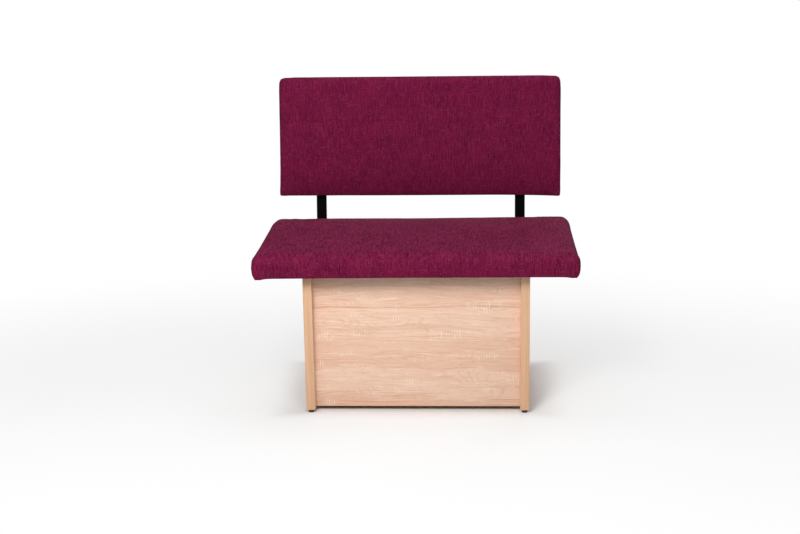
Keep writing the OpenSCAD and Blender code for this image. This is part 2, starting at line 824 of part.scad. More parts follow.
module back_tee_nuts() {
    front = bar_t + 2 * fabric_t + back_board_t;
    color(zinc) at_back_bolts() translate([0, 0, -front]) difference() {
        union() {
            cylinder(h = tee_flange_t, d = tee_flange_d);
            cylinder(h = tee_flange_t + tee_barrel_l, r = tee_barrel_r);
        }
        translate([0, 0, -over])
            cylinder(h = tee_flange_t + tee_barrel_l + 2 * over, r = back_bolt_d / 2 + thread_play);
    }
}

module back_bolts() {
    color(black_steel) at_back_bolts() socket_bolt(back_bolt_d, bar_t + 2 * fabric_t + back_bolt_bite);
}

module bar_inserts() {
    color(zinc) at_bar_bolts() translate([0, 0, -bar_t - band_t - insert_l])
        threaded_insert(bar_bolt_d, insert_l, insert_wall);
}

module bar_bolts() {
    color(black_steel) at_bar_bolts() socket_bolt(bar_bolt_d, bar_t + bar_bolt_bite);
}

side_panel(-1);  // left_side_panel
side_panel(1);  // right_side_panel
side_band(-1, 1);  // left_front_band
side_band(1, 1);  // right_front_band
side_band(-1, -1);  // left_rear_band
side_band(1, -1);  // right_rear_band
cross_panel(1);  // front_panel
cross_panel(-1);  // rear_panel
cross_panel_band(1);  // front_panel_band
cross_panel_band(-1);  // rear_panel_band
rail(1);  // front_rail
rail(-1);  // rear_rail
panel_dowels();
cam_housings();
cam_bolts();
rail_screws();
seat_screws();
angle_brackets();
bracket_screws();
foot_inserts();
foot(-1, 0);  // front_left_foot
foot(1, 0);  // front_right_foot
foot(-1, 1);  // rear_left_foot
foot(1, 1);  // rear_right_foot
foot_screw(-1, 0);  // front_left_foot_screw
foot_screw(1, 0);  // front_right_foot_screw
foot_screw(-1, 1);  // rear_left_foot_screw
foot_screw(1, 1);  // rear_right_foot_screw
seat_board();
seat_foam();
seat_cover();
seat_dust_cloth();
back_board();
back_foam();
back_cover();
back_lining();
back_bar(-1);  // left_back_bar
back_bar(1);  // right_back_bar
back_tee_nuts();
back_bolts();
bar_inserts();
bar_bolts();
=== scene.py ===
# %% [markdown]
# # A bench with a backrest
#
# The bench stands in a café or a waiting room: a padded seat and a padded back on two flat steel bars,
# over a box base of oak-patterned board that stands on four levelling feet. The solids come from the CAD
# model, which knows every size. This script gives each surface its finish, and models the soft pieces as
# cloth pulled over foam.
#
# Lengths are metres. +Z is up, and -Y is the front, where a person sits down.

# %% Load the frame
import json
import math
import random

import bmesh
import bpy
from mathutils import Matrix, Vector


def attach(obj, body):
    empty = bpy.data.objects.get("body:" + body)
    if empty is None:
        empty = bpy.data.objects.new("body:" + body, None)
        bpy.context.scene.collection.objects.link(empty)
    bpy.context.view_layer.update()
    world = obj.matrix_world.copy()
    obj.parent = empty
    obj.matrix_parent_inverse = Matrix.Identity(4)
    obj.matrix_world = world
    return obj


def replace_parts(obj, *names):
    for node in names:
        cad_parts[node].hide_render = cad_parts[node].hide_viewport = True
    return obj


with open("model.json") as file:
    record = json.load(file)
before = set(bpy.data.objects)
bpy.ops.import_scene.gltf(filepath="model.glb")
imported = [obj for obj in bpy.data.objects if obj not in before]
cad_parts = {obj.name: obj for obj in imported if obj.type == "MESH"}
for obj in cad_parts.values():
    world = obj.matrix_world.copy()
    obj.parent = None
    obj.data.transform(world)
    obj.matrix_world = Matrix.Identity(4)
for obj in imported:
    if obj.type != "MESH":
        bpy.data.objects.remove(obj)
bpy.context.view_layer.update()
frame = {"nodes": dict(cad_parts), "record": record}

MM = 0.001
record = frame["record"]
body_of = {node: body for body, members in record["behaviour"]["bodies"].items() for node in members}
slot_of = {part["node"]: part["material_slot"] for part in record["subparts"]}

# %% [markdown]
# ## The camera
#
# The photograph was taken from in front of the bench and a little above it, with a long lens. The place,
# the turn and the focal length below were worked out from the outline of the bench. The camera looks
# along `forward`, and a small roll tips the picture the way the photographer held it.

# %% Make the camera
PHOTO_WIDTH = 800  # pixels
FOCAL_PIXELS = 1467.5  # focal length in pixels of that photograph
SENSOR = 36  # mm
CAMERA_PLACE = Vector((0.1511, -4.1440, 1.4798))
YAW, PITCH, ROLL = -0.0495, 0.2605, -0.0154  # radians


def link(name, data):
    """A new object of a mesh, a camera or a lamp, linked to the scene."""
    thing = bpy.data.objects.new(name, data)
    bpy.context.scene.collection.objects.link(thing)
    return thing


forward = Vector((math.sin(YAW) * math.cos(PITCH), math.cos(YAW) * math.cos(PITCH), -math.sin(PITCH)))
level = Vector((math.cos(YAW), -math.sin(YAW), 0))
upward = level.cross(forward)
right = math.cos(ROLL) * level + math.sin(ROLL) * upward
up = math.cos(ROLL) * upward - math.sin(ROLL) * level

camera_data = bpy.data.cameras.new("camera")
camera_data.sensor_width = SENSOR
camera_data.sensor_fit = "HORIZONTAL"
camera_data.lens = FOCAL_PIXELS * SENSOR / PHOTO_WIDTH
camera = link("camera", camera_data)
camera.matrix_world = Matrix.Translation(CAMERA_PLACE) @ Matrix((right, up, -forward)).transposed().to_4x4()
bpy.context.scene.camera = camera
print(f"lens {camera_data.lens:.1f} mm, {(CAMERA_PLACE - Vector((0, 0, 0.5))).length:.2f} m from the bench")

# %% [markdown]
# ## Colours and nodes
#
# Colours are written as sRGB hex values, as a paint chart gives them. Blender's shaders work with linear
# light, so one function converts them. A second small function adds a shader node, sets what it is told
# to, and links every input that is given as another node or as one of its outputs.

# %% Helpers for materials
def linear(hex_colour):
    """Linear red, green, blue and alpha of an sRGB hex colour such as "#6B1C3C"."""
    values = [int(hex_colour[k:k + 2], 16) / 255 for k in (1, 3, 5)]
    return tuple(v / 12.92 if v <= 0.04045 else ((v + 0.055) / 1.055) ** 2.4 for v in values) + (1.0,)


def add(tree, kind, inputs=(), **settings):
    """Adds a shader node with its settings. An input is a value, an output, or a node to link."""
    node = tree.nodes.new("ShaderNode" + kind)
    for key, value in settings.items():
        setattr(node, key, value)
    for socket, value in dict(inputs).items():
        if isinstance(value, bpy.types.Node):
            value = next(output for output in value.outputs if output.enabled)
        if isinstance(value, bpy.types.NodeSocket):
            tree.links.new(value, node.inputs[socket])
        else:
            node.inputs[socket].default_value = value
    return node


def new_material(name, uv_map=None):
    """A material, its node tree, and the place its patterns read: Object coordinates or a UV map."""
    material = bpy.data.materials.new(name)
    material.use_nodes = True
    tree = material.node_tree
    tree.nodes.clear()
    place = add(tree, "UVMap", uv_map=uv_map) if uv_map else add(tree, "TexCoord").outputs["Object"]
    return material, tree, place


def close(tree, colour, sockets, relief=None, relief_mm=0.1):
    """Ends a material with a Principled shader: its colour, its other sockets and perhaps a relief."""
    sockets = {"Base Color": colour, **sockets}
    if relief is not None:
        sockets["Normal"] = add(tree, "Bump", {"Height": relief, "Distance": relief_mm * MM,
                                               "Strength": 0.5})
    add(tree, "OutputMaterial", {"Surface": add(tree, "BsdfPrincipled", sockets)})


finish = {}  # material slot of the record: material


def keep(slot, material):
    """Keeps a material as the finish of a slot."""
    finish[slot] = material
    print(f"{slot}: {material.name}, {len(material.node_tree.nodes)} nodes")


print("wine red in linear light:", [round(v, 3) for v in linear("#6B1C3C")])

# %% [markdown]
# ## Patterns in real sizes
#
# Most finishes here are noise, and many are stretched along one direction: wood grain, slubs in a yarn,
# the print of an edge band. The noise texture takes cells per metre, so `pattern` turns the size of one
# cell in millimetres, along each axis, into that scale. Noise lies around 0.5, so `pattern` also says which
# part of its range counts, and turns that part into a share between 0 and `most`.
#
# Colours are laid over each other as a painter lays glazes: `glaze` starts from a base colour, and each
# layer brings its own colour where its share is high.

# %% Helpers for patterns
def pattern(tree, place, cell_mm, low, high, most=1.0, detail=2.0, roughness=0.5, shift=(0, 0, 0)):
    """Share from 0, where noise is at `low`, to `most`, where it is at `high`."""
    scale = [1 / (size * MM) for size in cell_mm]
    mapping = add(tree, "Mapping", {"Vector": place, "Scale": scale, "Location": shift})
    texture = add(tree, "TexNoise", {"Vector": mapping, "Scale": 1.0, "Detail": detail,
                                     "Roughness": roughness})
    return add(tree, "MapRange", {"Value": texture, "From Min": low, "From Max": high, "To Max": most})


def glaze(tree, base, *layers):
    """Lays colours over a base colour. Each layer is a share and the hex colour that it brings."""
    colour = linear(base)
    for share, hex_colour in layers:
        # sockets 0, 6 and 7 are a Mix node's factor and two colours
        colour = add(tree, "Mix", {0: share, 6: colour, 7: linear(hex_colour)}, data_type="RGBA")
    return colour


print("a 3 mm cell is", round(1 / (3 * MM)), "cells per metre")

# %% [markdown]
# ## Melamine board with an oak print
#
# The boards are chipboard with a printed decor under clear melamine. The decor copies rough-sawn oak:
# broad cream and pinkish bands, fine grain that bends round old knots, a few long brown lines, and
# patches of short light strokes across the grain, where a saw's teeth once cut. One noise pushes the
# grain to and fro, so all its layers bend the same way. The strokes are a wave along the grain, broken up
# by noise and kept inside small patches. The surface is a satin resin with a very shallow emboss.

# %% Oak-printed melamine
LAMELLA = 92  # mm, width of the strips that the decor shows glued together
STRIP_PHASE = 4.71  # radians, where the count of the strips starts
STROKE_PITCH = 7.5  # mm between two saw strokes


def oak_melamine(name, along, across):
    """Oak decor whose grain runs along one object axis (0, 1 or 2), with `across` as the other one."""
    material, tree, place = new_material(name)
    parts = add(tree, "SeparateXYZ", {0: place}).outputs
    through = parts[3 - along - across]
    flat = add(tree, "CombineXYZ", {0: parts[along], 1: parts[across], 2: through})
    bend = pattern(tree, flat, (300, 60, 90), 0.2, 0.8, most=24 * MM)
    bent = add(tree, "Math", {0: parts[across], 1: bend}, operation="ADD")
    grain = add(tree, "CombineXYZ", {0: parts[along], 1: bent, 2: through})

    # a sine counts the strips: they turn from cream to pinkish, and a brown line runs where it is zero,
    # in the places that a noise leaves it
    turn = math.pi / (LAMELLA * MM)
    count = add(tree, "Math", {0: bent, 1: turn, 2: STRIP_PHASE}, operation="MULTIPLY_ADD")
    strip = add(tree, "Math", {0: count}, operation="SINE")
    cream = add(tree, "MapRange", {"Value": strip, "From Min": -0.2, "From Max": 0.3, "To Max": 0.6})
    pink = pattern(tree, grain, (420, 34, 90), 0.46, 0.66, most=0.85, detail=3, shift=(8, 5, 2))
    near_line = add(tree, "MapRange", {"Value": add(tree, "Math", {0: strip}, operation="ABSOLUTE"),
                                       "From Min": 0.11, "From Max": 0.02})
    line_places = pattern(tree, grain, (210, 5, 30), 0.42, 0.62, most=0.52)
    lines = add(tree, "Math", {0: near_line, 1: line_places}, operation="MULTIPLY")
    dark_streaks = pattern(tree, grain, (70, 3.4, 30), 0.52, 0.70, most=0.62, detail=3, roughness=0.62)
    light_streaks = pattern(tree, grain, (90, 3.8, 30), 0.52, 0.68, most=0.60, detail=3, shift=(5, 9, 1))
    pores = pattern(tree, grain, (20, 1.5, 20), 0.58, 0.70, most=0.35, shift=(9, 2, 4))
    # flame figure: contour lines of a hill, as on a board sawn near the bark
    hill = pattern(tree, grain, (300, 70, 90), 0.0, 1.0, most=150.0, detail=1, shift=(2, 8, 5))
    contours = add(tree, "MapRange", {"Value": add(tree, "Math", {0: hill}, operation="SINE"),
                                      "From Min": 0.5, "From Max": 1.0, "To Max": 0.30})
    flame_places = pattern(tree, grain, (190, 60, 90), 0.48, 0.62, shift=(6, 2, 7))
    flames = add(tree, "Math", {0: contours, 1: flame_places}, operation="MULTIPLY")

    wave = add(tree, "Math", {0: parts[along], 1: 2 * math.pi / (STROKE_PITCH * MM)}, operation="MULTIPLY")
    teeth = add(tree, "MapRange", {"Value": add(tree, "Math", {0: wave}, operation="SINE"),
                                   "From Min": 0.1, "From Max": 0.8})
    broken = pattern(tree, flat, (STROKE_PITCH, 20, 40), 0.44, 0.56, shift=(1, 6, 3))
    patches = pattern(tree, flat, (75, 36, 60), 0.57, 0.66, shift=(7, 1, 2))
    rows = add(tree, "Math", {0: teeth, 1: broken}, operation="MULTIPLY")
    strokes = add(tree, "Math", {0: rows, 1: patches}, operation="MULTIPLY")
    light_strokes = add(tree, "Math", {0: strokes, 1: 0.65}, operation="MULTIPLY")

    colour = glaze(tree, "#E4BDA5", (cream, "#EECFB9"), (pink, "#DFB49B"), (dark_streaks, "#CE9E80"),
                   (light_streaks, "#F0D5C0"), (flames, "#CA9B7E"), (lines, "#C28A67"),
                   (pores, "#BD9174"), (light_strokes, "#F8E4CF"))
    relief = add(tree, "Math", {0: strokes, 1: dark_streaks}, operation="SUBTRACT")
    satin = add(tree, "MapRange", {"Value": dark_streaks, "To Min": 0.46, "To Max": 0.62})
    close(tree, colour, {"Roughness": satin, "Specular IOR Level": 0.3}, relief, relief_mm=0.08)
    return material


oak_level = oak_melamine("oak_melamine_level_grain", 0, 2)
oak_upright = oak_melamine("oak_melamine_upright_grain", 2, 1)
keep("oak_laminate", oak_upright)

# %% [markdown]
# ## Edge band
#
# The board's edges are covered by a 2 mm strip of ABS plastic, printed to go with the decor and always a
# little plainer and yellower than it. Its print is straight thin lines along the strip, and its surface is
# smoother than the board's, so it catches a soft highlight where its corner is rounded.

# %% Oak-coloured ABS edge band
def abs_band(name, along):
    """Edge band whose printed lines run along one object axis."""
    material, tree, place = new_material(name)
    thin, wide = [1.6] * 3, [8] * 3
    thin[along], wide[along] = 240, 420
    lines = pattern(tree, place, thin, 0.50, 0.72, most=0.55, roughness=0.6)
    bands = pattern(tree, place, wide, 0.35, 0.65, detail=1)
    colour = glaze(tree, "#D2A680", (bands, "#DCB08D"), (lines, "#C3946B"))
    close(tree, colour, {"Roughness": 0.42}, lines, relief_mm=0.03)
    return material


band_upright = abs_band("abs_edge_band_upright", 2)
band_level = abs_band("abs_edge_band_level", 0)
keep("oak_edge_band", band_upright)

# %% [markdown]
# ## Woven melange cover
#
# The cover is a plain-woven upholstery cloth of wine-red melange yarn: fibres of several shades are spun
# together, so each thread changes from dark to pinkish along its length. Thick places in the yarn, called
# slubs, show as short upright streaks and, more rarely, as level ones. The pattern follows the cloth and
# not the room, so this material reads the piece's own UV map, which holds the distance along the cloth in
# metres. A little sheen stands for the fibre ends that catch the light.
#
# The seat's cloth is livelier than the back's. It has been sat on, so its shades stand further apart, most
# of all on top, where the nap also lies in patches and tufts. The attribute `looks_up`, which each cushion
# carries, tells the material where the top is: it is the height of the surface's normal, from -1 to 1.
#
# The threads are 1.4 mm apart, which is coarser than the real cloth, so that they show from close up.

# %% Melange upholstery cloth
THREAD = 1.4  # mm between threads, drawn coarse so that the weave shows


def melange_cloth(name, life, life_above):
    """Cloth whose shades are `life` times as strong on its sides, and `life_above` times on its top."""
    melange, tree, place = new_material(name, uv_map="cloth")
    parts = add(tree, "SeparateXYZ", {0: place}).outputs
    looks_up = add(tree, "Attribute", attribute_name="looks_up").outputs["Fac"]
    above = add(tree, "MapRange", {"Value": looks_up, "From Min": 0.1, "From Max": 0.9})
    strength = add(tree, "MapRange", {"Value": above, "To Min": life, "To Max": life_above})

    clouds = pattern(tree, place, (60, 80, 10), 0.35, 0.65, detail=3)
    light_warp = pattern(tree, place, (3.4, 17, 10), 0.50, 0.72, most=0.55, detail=3, roughness=0.62)
    dark_warp = pattern(tree, place, (3.6, 20, 10), 0.50, 0.70, most=0.50, detail=3, roughness=0.62,
                        shift=(5, 1, 0))
    long_light = pattern(tree, place, (3.4, 46, 10), 0.51, 0.68, most=0.50, detail=2, shift=(6, 3, 0))
    long_dark = pattern(tree, place, (3.6, 42, 10), 0.51, 0.68, most=0.50, detail=2, shift=(9, 5, 0))
    weft_places = pattern(tree, place, (26, 22, 10), 0.48, 0.60, shift=(2, 2, 0))
    weft_slubs = pattern(tree, place, (20, 3.2, 10), 0.52, 0.70, detail=3, roughness=0.62, shift=(3, 7, 0))
    light_weft = add(tree, "Math", {0: weft_places, 1: weft_slubs}, operation="MULTIPLY")
    flecks = pattern(tree, place, (2.6, 3.4, 10), 0.64, 0.74, most=0.75, shift=(8, 2, 0))
    knots = pattern(tree, place, (2.4, 2.8, 10), 0.64, 0.74, most=0.60, shift=(1, 9, 0))

    # plain weave: the threads of each direction rise and dip by turns
    angles = [add(tree, "Math", {0: parts[k], 1: math.pi / (THREAD * MM)}, operation="MULTIPLY")
              for k in (0, 1)]
    waves = [add(tree, "Math", {0: angle}, operation="SINE") for angle in angles]
    crossing = add(tree, "Math", {0: waves[0], 1: waves[1]}, operation="MULTIPLY")
    backs = [add(tree, "Math", {0: wave}, operation="ABSOLUTE") for wave in waves]
    ridges = add(tree, "Math", {0: backs[0], 1: backs[1]}, operation="ADD")
    weave = add(tree, "Math", {0: ridges, 1: crossing}, operation="ADD")
    # the low places between the threads are painted darker: painted shade in the gaps of the weave
    gap_shade = add(tree, "MapRange", {"Value": weave, "From Min": 1.2, "From Max": -0.4, "To Max": 0.45})

    # the nap of the top lies one way or the other, in wide patches and in small tufts
    nap = [(pattern(tree, place, (80, 170, 10), 0.44, 0.62, most=0.27, shift=(4, 4, 0)), "#83224C"),
           (pattern(tree, place, (80, 170, 10), 0.44, 0.62, most=0.27, shift=(7, 9, 0)), "#4F0927"),
           (pattern(tree, place, (7, 34, 10), 0.50, 0.66, most=0.42, shift=(2, 6, 0)), "#8A2B55"),
           (pattern(tree, place, (7, 34, 10), 0.50, 0.66, most=0.42, shift=(5, 8, 0)), "#4A0624")]
    nap = [(add(tree, "Math", {0: share, 1: above}, operation="MULTIPLY"), shade) for share, shade in nap]

    shades = [(clouds, "#72153A"), (long_light, "#82274C"), (long_dark, "#480620"),
              (light_warp, "#872B51"), (dark_warp, "#4A0720"), (light_weft, "#85294F"),
              (flecks, "#9D4C73"), (knots, "#40051B")]
    shades = [(add(tree, "Math", {0: share, 1: strength}, operation="MULTIPLY"), shade)
              for share, shade in shades]
    colour = glaze(tree, "#651135", *shades, *nap, (gap_shade, "#41051C"))
    relief = add(tree, "Math", {0: light_warp, 1: weave}, operation="ADD")
    close(tree, colour, {"Roughness": 0.92, "Specular IOR Level": 0.03, "Sheen Weight": 0.02,
                         "Sheen Roughness": 0.5, "Sheen Tint": linear("#E8C8D4")}, relief, relief_mm=0.25)
    return melange


seat_cloth = melange_cloth("wool_blend_melange_seat_cloth", 1.26, 2.1)
back_cloth = melange_cloth("wool_blend_melange_back_cloth", 0.94, 1.5)
keep("upholstery", back_cloth)
print("weave:", round(10 / THREAD), "threads per centimetre")

# %% [markdown]
# ## Powder coat, zinc and nylon
#
# The bars are mild steel under a black powder coat, which melts in an oven and flows into a fine orange
# peel. The fittings are bright zinc plate: a metal, so its colour tints its reflections, with a slightly
# cloudy roughness. The feet are moulded nylon with a soft sheen, and their colour is painted darker in
# the hollows of their fine grain, as painted shade.

# %% Black powder coat
steel, tree, place = new_material("black_powder_coated_steel")
peel = pattern(tree, place, (1.6, 1.6, 1.6), 0.3, 0.7)
grit = pattern(tree, place, (0.5, 0.5, 0.5), 0.4, 0.7, detail=1)
close(tree, glaze(tree, "#030303", (grit, "#060606")),
      {"Roughness": 0.62, "Specular IOR Level": 0.03}, peel, relief_mm=0.06)
keep("black_steel", steel)

# %% Bright zinc plate
zinc, tree, place = new_material("bright_zinc_plated_steel")
cloud = pattern(tree, place, (6, 6, 6), 0.3, 0.7, detail=3)
cloudy_gloss = add(tree, "MapRange", {"Value": cloud, "To Min": 0.26, "To Max": 0.42})
close(tree, glaze(tree, "#B4B9C0", (cloud, "#CDD1D4")), {"Metallic": 1.0, "Roughness": cloudy_gloss})
keep("zinc_steel", zinc)

# %% Moulded black nylon
nylon, tree, place = new_material("moulded_black_nylon")
grain = pattern(tree, place, (0.8, 0.8, 0.8), 0.3, 0.7)
# the colour is lighter where the grain's relief stands up and darker in its hollows: painted shade
close(tree, glaze(tree, "#151516", (grain, "#242425")), {"Roughness": 0.5}, grain, relief_mm=0.05)
keep("black_plastic", nylon)

# %% [markdown]
# ## Wood, foam and dust cloth
#
# Under the seat are pieces that nobody dresses up: beech rails, birch plywood boards, cut foam, and a
# black non-woven cloth that keeps dust out. Beech has straight pale grain with many short dark flecks.
# Plywood shows its layers on its edges as stripes. Cut foam is all small open bubbles, with painted
# shade in their hollows. The dust cloth is pressed from fibres, with a dimple every few millimetres.

# %% Planed beech
beech, tree, place = new_material("planed_beech")
grain = pattern(tree, place, (180, 4, 4), 0.2, 0.8, detail=3)
flecks = pattern(tree, place, (6, 0.9, 0.9), 0.60, 0.72, most=0.55, detail=1)
close(tree, glaze(tree, "#CFA67B", (grain, "#E0BE96"), (flecks, "#A97C52")), {"Roughness": 0.55}, grain)
keep("beech", beech)

# %% Birch plywood
PLY = 1.4  # mm, one layer of veneer

plywood, tree, place = new_material("birch_plywood")
face = pattern(tree, place, (60, 5, 300), 0.2, 0.8, detail=3)
height = add(tree, "SeparateXYZ", {0: place}).outputs[2]
turn = add(tree, "Math", {0: height, 1: math.pi / (PLY * MM)}, operation="MULTIPLY")
layers = add(tree, "MapRange", {"Value": add(tree, "Math", {0: turn}, operation="SINE"),
                                "From Min": -0.2, "From Max": 0.2, "To Max": 0.4})
close(tree, glaze(tree, "#D2B083", (face, "#E2C69C"), (layers, "#A67E52")), {"Roughness": 0.65})
keep("plywood", plywood)

# %% Cut foam
foam, tree, place = new_material("cut_polyurethane_foam")
bubble_relief_and_shade = add(tree, "TexVoronoi", {"Vector": place, "Scale": 1 / (1.2 * MM)})
# the middles of the bubbles, low in the relief, are darker than their walls: painted shade
close(tree, glaze(tree, "#DDD3AE", (bubble_relief_and_shade, "#F0EACF")), {"Roughness": 0.95}, bubble_relief_and_shade, relief_mm=0.3)
keep("foam", foam)

# %% Non-woven dust cloth
nonwoven, tree, place = new_material("black_nonwoven_polypropylene")
fibres = pattern(tree, place, (1.1, 1.1, 1.1), 0.35, 0.65, detail=3, roughness=0.7)
dimples = add(tree, "TexVoronoi", {"Vector": place, "Scale": 1 / (2.5 * MM), "Randomness": 0.15})
relief = add(tree, "Math", {0: dimples, 1: fibres}, operation="ADD")
close(tree, glaze(tree, "#161617", (fibres, "#2A2A2C")), {"Roughness": 0.85}, relief, relief_mm=0.15)
keep("dust_cloth", nonwoven)
print("finishes:", sorted(finish))

# %% [markdown]
# ## Hard pieces from the CAD model
#
# A real board, bar or bracket has no razor edge. The CAD node keeps its exact shape, so a merged copy of
# it gets the rounded edges and stands for it. The copy's triangles are joined back into flat faces
# first, because a bevel needs whole edges. Only edges sharper than 50 degrees are rounded, so round
# holes stay round.

# %% Helpers for rounded copies
SHARP_EDGE = math.radians(50)
SMOOTH_BELOW = math.radians(40)  # edges flatter than this are shaded smooth


def link_piece(name, bm, material, body):
    """Makes an object of a bmesh, gives it its material, and lets it ride on a body."""
    mesh = bpy.data.meshes.new(name)
    bm.to_mesh(mesh)
    bm.free()
    mesh.shade_smooth()
    mesh.set_sharp_from_angle(angle=SMOOTH_BELOW)
    mesh.materials.append(material)
    piece = link(name, mesh)
    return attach(piece, body)


def rounded_copy(node, radius_mm, material=None, segments=2):
    """A merged copy of a CAD node with its sharp edges rounded, which stands for the node."""
    bm = bmesh.new()
    bm.from_mesh(frame["nodes"][node].data)
    bmesh.ops.remove_doubles(bm, verts=bm.verts, dist=0.002 * MM)
    bmesh.ops.dissolve_limit(bm, angle_limit=math.radians(0.5), verts=bm.verts, edges=bm.edges)
    sharp = [e for e in bm.edges if e.is_manifold and e.calc_face_angle() > SHARP_EDGE]
    bmesh.ops.bevel(bm, geom=sharp, offset=radius_mm * MM, segments=segments, profile=0.5,
                    affect="EDGES", material=-1, clamp_overlap=True)
    slot = slot_of[node]
    piece = link_piece(node + "_finished", bm, material or finish[slot], body_of[node])
    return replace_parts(piece, node)


def round_nodes(nodes, radius_mm, **settings):
    """Rounded copies of several nodes, all with the same settings."""
    copies = [rounded_copy(node, radius_mm, **settings) for node in nodes]
    print("rounded:", [piece.name for piece in copies])


print("edges sharper than", round(math.degrees(SHARP_EDGE)), "degrees will be rounded")

# %% [markdown]
# ## Base
#
# The side panels' grain stands upright, the front and rear panels' grain lies level. A trimmer rounds the
# edge bands, by 1.4 mm on the side panels and 0.7 mm on the others, and that is what catches the light on
# the front corners. The laminate itself is only eased.

# %% Round the base's edges
ENDS, SIDES = ("front", "rear"), ("left", "right")
round_nodes([f"{side}_side_panel" for side in SIDES], 0.4, material=oak_upright)
round_nodes([f"{end}_panel" for end in ENDS], 0.3, material=oak_level)
round_nodes([f"{side}_{end}_band" for end in ENDS for side in SIDES], 1.4, material=band_upright, segments=3)
round_nodes([f"{end}_panel_band" for end in ENDS], 0.7, material=band_level)
round_nodes([f"{end}_rail" for end in ENDS], 1.2)
round_nodes(["angle_brackets"], 0.5)

# %% [markdown]
# ## Back bars and feet
#
# The bars are cut from drawn flat steel, whose corners are slightly round before the coat goes on. The
# feet are small turned shapes: their CAD nodes are right already, and only their rims are eased.

# %% Round the bars and the feet
BARS = [f"{side}_back_bar" for side in SIDES]
round_nodes(BARS, 0.9, segments=3)
round_nodes([f"{end}_{side}_foot" for end in ENDS for side in SIDES], 0.3)

# %% [markdown]
# ## The rest of the hardware
#
# Screws, bolts, dowels, cams and inserts are small, and their CAD shapes already have heads, recesses and
# chamfers. They keep their nodes and only get their materials.

# %% Give the other nodes their materials
for name, node in frame["nodes"].items():
    node.data.materials.clear()
    node.data.materials.append(finish[slot_of[name]])
print("materials set on", len(frame["nodes"]), "nodes")

# %% [markdown]
# ## Frames of the two cushions
#
# A cushion is easiest to shape lying flat, so each is modelled in its own frame: x across the bench, y
# over the cushion, z from its board to its surface. The seat's frame only moves. The back pad's frame
# leans with the bars, and the largest face of its board says by how much.

# %% Find both frames
def extent(places):
    """Lowest and highest corner of the box round some places."""
    return [Vector([pick(place[k] for place in places) for k in range(3)]) for pick in (min, max)]


def node_extent(node, frame_matrix):
    """Lowest and highest corner of a CAD node in another frame."""
    inverse = frame_matrix.inverted()
    return extent([inverse @ v.co for v in frame["nodes"][node].data.vertices])


def leaning_frame(node):
    """Rotation whose z axis is the normal of the node's largest face, pointing to the front."""
    face = max(frame["nodes"][node].data.polygons, key=lambda polygon: polygon.area)
    out = face.normal if face.normal.y < 0 else -face.normal
    side = Vector((1, 0, 0))
    return Matrix((side, out.cross(side), out)).transposed().to_4x4()


def cushion_frame(node, turn):
    """Frame whose origin is the middle of the node's underside."""
    low, high = node_extent(node, turn)
    middle = Vector(((low.x + high.x) / 2, (low.y + high.y) / 2, low.z))
    return Matrix.Translation(turn @ middle) @ turn, high - low


seat_frame, seat_size = cushion_frame("seat_cover", Matrix.Identity(4))
pad_frame, pad_size = cushion_frame("back_cover", leaning_frame("back_board"))
print("seat", [round(v, 4) for v in seat_size], "back pad", [round(v, 4) for v in pad_size])

# %% [markdown]
# ## Cushions
#
# An upholsterer glues foam to a board, pulls the cover over it and staples it underneath. The cover
# stays tight, so the cushion is crowned in the middle, its sides draw in towards the board, and spare
# cloth gathers in a small ear under each corner.
#
# The shape starts as a box with rounded corners, remeshed into even squares. A few rules then move its
# points. After that, Blender's cloth solver inflates the skin a little while the stapled underside is
# held, which gives the soft unevenness of real cloth. A cap limits how far the solver may move a point.
# The hem under the edge is shaped last.

# %% Start a cushion
def cushion_block(size, corner, edge, under):
    """A box of the given size on z = 0 with round upright corners and a rounded top and bottom edge."""
    bm = bmesh.new()
    bmesh.ops.create_cube(bm, size=1.0)
    bmesh.ops.scale(bm, vec=size, verts=bm.verts)
    bmesh.ops.translate(bm, vec=(0, 0, size.z / 2), verts=bm.verts)
    upright = [e for e in bm.edges if abs(e.verts[0].co.z - e.verts[1].co.z) > size.z / 2]
    bmesh.ops.bevel(bm, geom=upright, offset=corner, segments=8, profile=0.5, affect="EDGES", material=-1)
    for height, radius in ((size.z, edge), (0.0, under)):
        rim = [e for e in bm.edges if all(abs(v.co.z - height) < 1e-6 for v in e.verts)
               and any(abs(f.normal.z) < 0.5 for f in e.link_faces)]
        bmesh.ops.bevel(bm, geom=rim, offset=radius, segments=6, profile=0.5, affect="EDGES", material=-1)
    return bm


def apply_modifiers(piece):
    """Replaces the piece's mesh by what its modifiers make of it."""
    evaluated = piece.evaluated_get(bpy.context.evaluated_depsgraph_get())
    mesh = bpy.data.meshes.new_from_object(evaluated)
    piece.modifiers.clear()
    piece.data = mesh


def even_skin(name, bm, voxel):
    """A linked object of the bmesh, remeshed into squares of about one voxel."""
    mesh = bpy.data.meshes.new(name)
    bm.to_mesh(mesh)
    bm.free()
    piece = link(name, mesh)
    remesh = piece.modifiers.new("even squares", "REMESH")
    remesh.mode = "VOXEL"
    remesh.voxel_size = voxel
    apply_modifiers(piece)
    return piece


print("cushion helpers are ready")

# %% [markdown]
# The rules look at how far a point lies inside the sides and how high it lies. Near is the front of the
# seat and the lower end of the back pad, and far is the other end.
#
# `draw` pulls the lower part in towards the board, and `flare` gives some of that back beside a corner.
# `waist` pulls a side in between its corners, and the three `soften` lengths pull the outline in beside a
# corner. `crown` lifts the middle of the top, `drop` lowers its corners, `rise` lifts the far right of it,
# where the foam is thicker, and `roll` bends its near end down to the board. The `square` values make the
# corners squarer than a circle, most of all near the board, which has squarer corners than the foam.
#
# The hem's rules follow after the cloth solver. `ear` pushes spare cloth down under a corner, and `lip` is
# the roll of cloth and foam round the edge of the board. Both stay clear of what carries the cushion: the
# base under the seat, and the bars behind the back pad. `near_left` pulls the near left corner sideways,
# and `near_right` the near right one down, as slack cloth hangs there.

